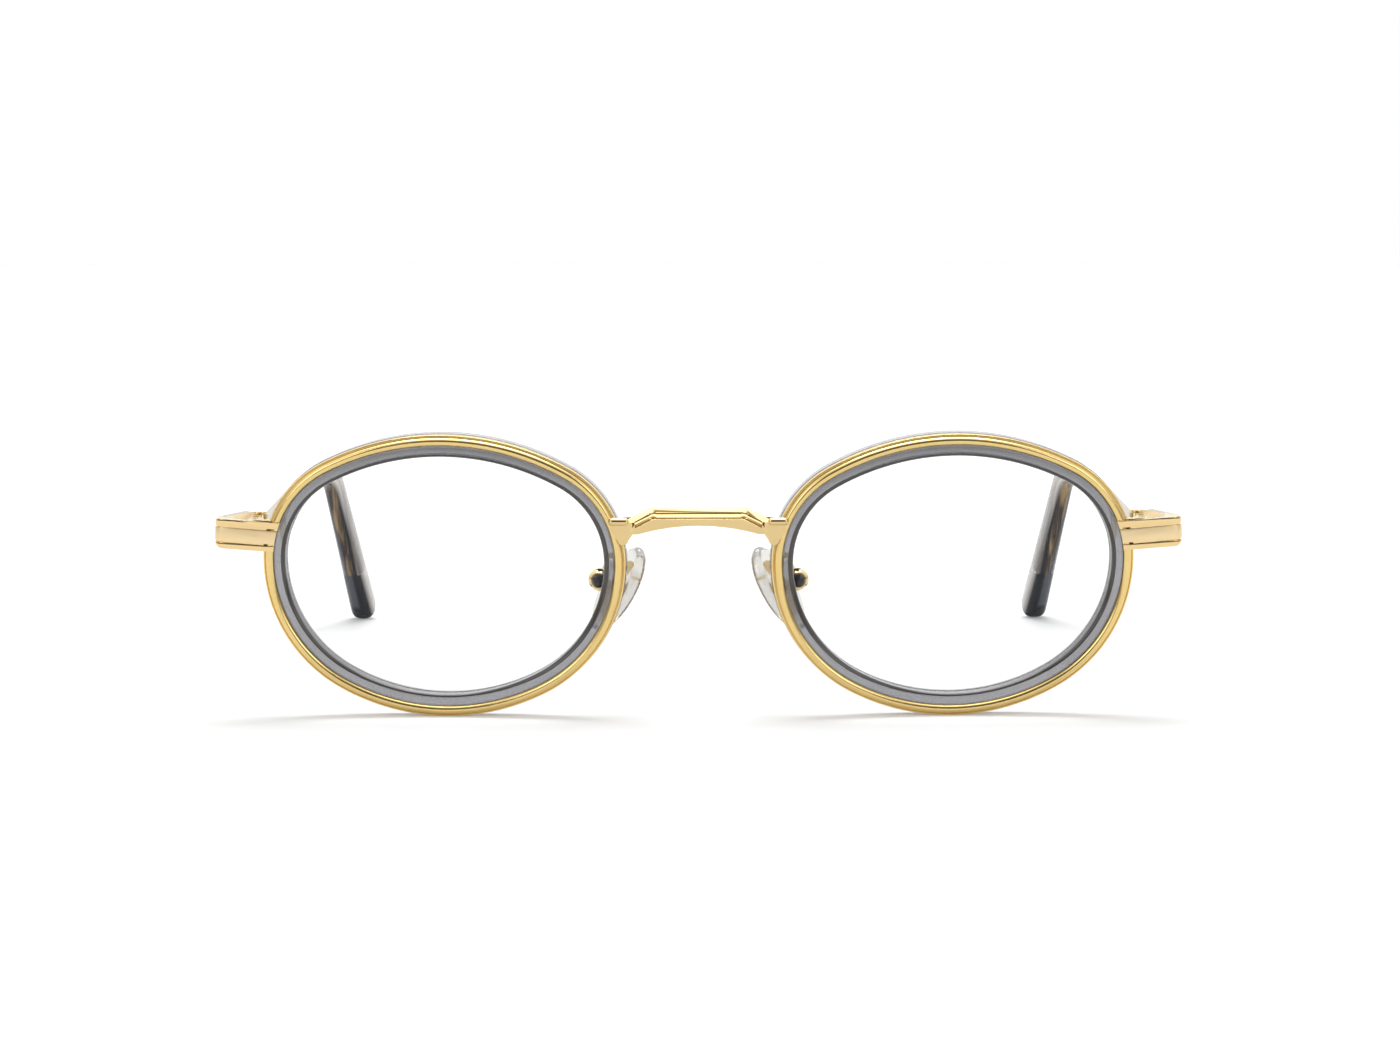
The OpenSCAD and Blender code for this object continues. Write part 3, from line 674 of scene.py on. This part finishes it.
# The temples.
# Each is a slim flat bar of gold-plated metal. Its thinner rear part runs on as a core inside the
# acetate tip, and shows through it.
arm = from_solid("left_temple_arm")
soften(arm, 0.16 * mm, segments=3)
finish_pair(arm, "temple_bar", polished_gold, "temple_arm")

# The temple tips.
# Each is cut from smoke and horn acetate, slid over the temple's core, and bent warm over the ear.
# It starts thin, has a pale band painted along its inner side as a painted highlight, and ends as a
# rounded paddle of solid slate colour, whose outer face is painted lighter as a painted highlight.
bend_y = 98 * mm
ear_drop = math.radians(38)
bend_r = 16 * mm
tip_t = 3.3 * mm
tip_end_t = 4.3 * mm
tip_h = 5.0 * mm
tip_lead = 22 * mm
lead_x = 62.8 * mm
lead_z = 27.182 * mm
tip_rise = math.atan2(2.9, 78)
tip_yaw = math.radians(4.4)
lead_l = tip_lead / math.cos(tip_rise)
bend_l = bend_r * (tip_rise + ear_drop)
# this drop stands the end of the tip on the table
drop_l = 38.458 * mm
tip_l = lead_l + bend_l + drop_l


def tip_line(along):
    """A point of the tip's middle line, seen from the side: straight, over the ear, straight down."""
    turned = min(max(along - lead_l, 0), bend_l) / bend_r
    heading = tip_rise - turned
    reach = min(along, lead_l)
    fall = max(along - lead_l - bend_l, 0)
    bend_back = bend_r * (math.sin(tip_rise) - math.sin(heading))
    bend_up = bend_r * (math.cos(heading) - math.cos(tip_rise))
    back = reach * math.cos(tip_rise) + bend_back + fall * math.cos(heading)
    up = reach * math.sin(tip_rise) + bend_up + fall * math.sin(heading)
    return Vector((0, back, up))


end_l = tip_h / 2
end_turns = [math.radians(turn) for turn in (14, 27, 40, 52, 62, 71, 79, 85, 88)]
# each station: how far along the line, half the thickness there, and half the height
stations = [
    (0, 0.31 * tip_t, 0.24 * tip_h), (0.25 * mm, 0.355 * tip_t, 0.272 * tip_h),
    (0.06 * lead_l, 0.368 * tip_t, 0.286 * tip_h),
]
stations += [
    (share * lead_l, (0.36 + 0.14 * share) * tip_t, (0.28 + 0.1 * share) * tip_h)
    for share in (0.25, 0.5, 0.75, 1)
]
stations += [(lead_l + share / 8 * bend_l, 0.5 * tip_t, 0.38 * tip_h) for share in range(1, 9)]
stations += [
    (lead_l + bend_l + share * (drop_l - end_l), (tip_t * (1 - share) + tip_end_t * share) / 2,
     (0.38 + 0.12 * share) * tip_h)
    for share in (0.12, 0.25, 0.37, 0.5, 0.62, 0.75, 0.87, 1)
]
stations += [
    (tip_l - end_l + end_l * math.sin(turn), tip_end_t / 2 * math.sqrt(math.cos(turn)),
     end_l * math.cos(turn))
    for turn in end_turns
]
squareness = 0.8
# the curve that bends the tip lays the mesh's X upright, so that each height goes there
bpy.ops.mesh.primitive_circle_add(vertices=24, radius=1, fill_type="NGON", rotation=(math.radians(90), 0, 0))
tip = bpy.context.object
bpy.ops.object.transform_apply(location=False, rotation=True, scale=False)
for corner in tip.data.vertices:
    corner.co.x = math.copysign(abs(corner.co.x) ** squareness, corner.co.x)
    corner.co.z = math.copysign(abs(corner.co.z) ** squareness, corner.co.z)
bpy.ops.object.mode_set(mode="EDIT")
bpy.ops.mesh.select_all(action="SELECT")
last = (0, 1, 1)
for station in stations:
    if station is not stations[0]:
        bpy.ops.mesh.extrude_region_move(TRANSFORM_OT_translate={"value": (0, station[0] - last[0], 0)})
    bpy.ops.transform.resize(
        value=(station[2] / last[2], 1, station[1] / last[1]), center_override=(0, station[0], 0))
    last = station
bpy.ops.mesh.select_all(action="SELECT")
bpy.ops.mesh.normals_make_consistent(inside=False)
bpy.ops.object.mode_set(mode="OBJECT")
line = bpy.data.curves.new("ear_line", "CURVE")
line.dimensions = "3D"
line.twist_mode = "Z_UP"
spline = line.splines.new("POLY")
line_steps = 120
spline.points.add(line_steps)
for number, point in enumerate(spline.points):
    point.co = (*tip_line(tip_l * number / line_steps), 1)
ear_line = bpy.data.objects.new("ear_line", line)
bpy.context.scene.collection.objects.link(ear_line)
apply_modifier(tip, "CURVE", object=ear_line, deform_axis="POS_Y")
bpy.data.objects.remove(ear_line)
apply_modifier(tip, "SUBSURF", levels=1, render_levels=1)
bpy.ops.object.shade_smooth_by_angle(angle=math.radians(50))
lead_y = front_y + bend_y - tip_lead
tip_place = Matrix.Translation((lead_x, lead_y, lead_z)) @ Matrix.Rotation(tip_yaw, 4, "Z")
put(tip, tip_place)

slate_top = 8.6 * mm
navy_top = 2.6 * mm
navy_side = 0.35 * mm
core_aside = 0.15 * mm
core_half = 0.55 * mm
core_flare = 0.03
core_seam = 0.3 * mm
highlight_from = 1.55 * mm
highlight_flare = 0.0375
horn_acetate, tree, output = open_material("horn_acetate")
spot_x, spot_y, tip_height = axes(tree, where(tree))
middle = lead_x * math.cos(tip_yaw) + lead_y * math.sin(tip_yaw)
outwards = abs(spot_x) * math.cos(tip_yaw) + spot_y * math.sin(tip_yaw) - middle
streaks = shade(tree, "ShaderNodeMapping", {"vector_type": "TEXTURE"}, {
    "Vector": where(tree), "Rotation": (-ear_drop, 0, 0), "Scale": (0.9 * mm, 16 * mm, 2.4 * mm)})
streak = shade(tree, "ShaderNodeTexNoise", {}, {
    "Vector": streaks, "Scale": 1.0, "Detail": 3.0, "Distortion": 0.4})
streak = ((streak - 0.42) * 6.0).clip()
solid = ((slate_top - tip_height) * 6000.0).clip()
beside_core = abs(outwards - core_aside) - core_half - (tip_height - slate_top) * core_flare
core = (beside_core * -8000.0).clip() * (1 - solid)
core_edge = 1 - ((beside_core - core_seam) * 4000.0).clip()
# painted highlight: a pale band along the tip's inner side, as a glossy edge would show, widening upwards
painted_highlight = ((tip_height * highlight_flare - highlight_from - outwards) * 1500.0).clip()
smoke_and_highlight_colour = blend_colours(tree, streak * (1 - painted_highlight), (0.78, 0.74, 0.70, 1), (0.12, 0.10, 0.10, 1))
smoke_and_painted_light = shade(tree, "ShaderNodeBsdfPrincipled", {}, {
    "Base Color": smoke_and_highlight_colour,
    "Roughness": 0.05 + streak * 0.04,
    "Transmission Weight": 0.9,
    "IOR": acetate_ior,
})
# painted highlight: the paddle's outer face is left lighter grey than its navy inner side and foot
navy = ((navy_top - tip_height) * 1200.0).over((navy_side - outwards) * 1800.0).clip()
slate_with_painted_highlight = blend_colours(tree, navy, (0.075, 0.078, 0.095, 1), (0.004, 0.005, 0.011, 1))
core_colour = blend_colours(tree, streak, (0.30, 0.20, 0.10, 1), (0.03, 0.022, 0.018, 1))
dark_colour = blend_colours(tree, core, slate_with_painted_highlight, core_colour)
slate = shade(tree, "ShaderNodeBsdfPrincipled", {}, {
    "Base Color": blend_colours(tree, painted_highlight, dark_colour, (0.62, 0.59, 0.57, 1)),
    "Roughness": 0.1 + streak * 0.05,
    "Specular IOR Level": 0.05,
    "IOR": acetate_ior,
})
opaque = (solid + core_edge * 0.96 + painted_highlight * 0.5).clip()
horn = shade(tree, "ShaderNodeMixShader", {}, {0: opaque, 1: smoke_and_painted_light, 2: slate})
tree.links.new(horn.output, output.inputs["Surface"])
finish_pair(tip, "horn_tip", horn_acetate, "temple_tip")

# The pad arms and boxes.
# A gold wire loop, let into the back of each ring, carries a small box with a polished gold dome in
# front, whose front-facing part is painted near-black: a painted reflection of the dark room. A pin through
# the box holds the core of the nose pad, which can rock a little on it.
soften_pair("pad_arm", "pad_arm_wire", 0.05 * mm)
pad_box = from_solid("left_pad_box")
soften(pad_box, 0.06 * mm)
painted_reflection_share = pad_box.data.attributes.new("painted_reflection_share", "FLOAT", "CORNER")
# painted reflection: faces turned to the front are painted near-black, as the dark room would show in them
for corner, normal in zip(painted_reflection_share.data, pad_box.data.corner_normals):
    to_front = -normal.vector.y
    corner.value = min(max((to_front - 0.6) * 4, 0), 1)
gold_with_painted_reflection, tree, output = open_material("gold_with_painted_reflection")
in_painted_reflection = shade(tree, "ShaderNodeAttribute", {"attribute_name": "painted_reflection_share"}, output="Fac")
dome_cloud = speckle(tree, 220.0)
surface(tree, output, {
    "Base Color": blend_colours(tree, in_painted_reflection, (0.74, 0.56, 0.28, 1), (0.025, 0.025, 0.028, 1)),
    "Metallic": 1.0,
    "Roughness": 0.08 + dome_cloud * 0.05,
})
finish_pair(pad_box, "domed_pad_box", gold_with_painted_reflection, "pad_box")
soften_pair("pad_screw", "pad_pin", 0.05 * mm, screw_gold)
soften_pair("pad_core", "pad_core_plate", 0.05 * mm)

# The nose pads.
# Each is a soft oval cushion of clear silicone, moulded round its flat metal core.
pad_l = 13.2 * mm
pad_w = 7.56 * mm
pad_x = 11.2 * mm
pad_y = 7.6 * mm
pad_z = 17.4 * mm
pad_lean = math.radians(29.5)
pad_splay = math.radians(28)
silicone_ior = 1.41
pad_place = (
    front_place
    @ Matrix.Translation((
        pad_x,
        pad_y * math.cos(front_lean) + (pad_z + front_low) * math.sin(front_lean),
        -pad_y * math.sin(front_lean) + (pad_z + front_low) * math.cos(front_lean),
    ))
    @ Matrix.Rotation(-pad_lean, 4, "Y")
    @ Matrix.Rotation(-pad_splay, 4, "Z")
)
clear_silicone, tree, output = open_material("clear_silicone")
cloud = speckle(tree, 500.0, 2.0)
surface(tree, output, {
    "Base Color": blend_colours(tree, cloud, (0.84, 0.83, 0.80, 1), (0.76, 0.75, 0.71, 1)),
    "Roughness": 0.05 + cloud * 0.06,
    "Transmission Weight": 0.92,
    "IOR": silicone_ior,
})
# each step of the pad's section: its share of the full size, and its depth in millimetres
pad_steps = [
    (0.30, -1.34), (0.55, -1.24), (0.75, -1.06), (0.88, -0.80), (0.96, -0.44), (1.0, 0.02),
    (0.985, 0.42), (0.93, 0.8), (0.82, 1.06), (0.6, 1.24), (0.3, 1.34),
]
bpy.ops.mesh.primitive_circle_add(vertices=56, radius=1, fill_type="NGON", rotation=(0, math.radians(90), 0))
pad = bpy.context.object
bpy.ops.object.transform_apply(location=False, rotation=True, scale=False)
bpy.ops.object.mode_set(mode="EDIT")
bpy.ops.mesh.select_all(action="SELECT")
bpy.ops.transform.resize(value=(1, pad_w / 2, pad_l / 2), center_override=(0, 0, 0))
last = (1, 0)
for share, depth in pad_steps:
    step = ((depth - last[1]) * mm, 0, 0)
    if (share, depth) == pad_steps[0]:
        bpy.ops.transform.translate(value=step)
    else:
        bpy.ops.mesh.extrude_region_move(TRANSFORM_OT_translate={"value": step})
    bpy.ops.transform.resize(value=(1, share / last[0], share / last[0]), center_override=(0, 0, 0))
    last = (share, depth)
bpy.ops.mesh.select_all(action="SELECT")
bpy.ops.mesh.normals_make_consistent(inside=False)
bpy.ops.object.mode_set(mode="OBJECT")
apply_modifier(pad, "SUBSURF", levels=1, render_levels=1)
bpy.ops.object.shade_smooth_by_angle(angle=math.radians(60))
put(pad, pad_place)
finish_pair(pad, "silicone_pad", clear_silicone, "nose_pad")
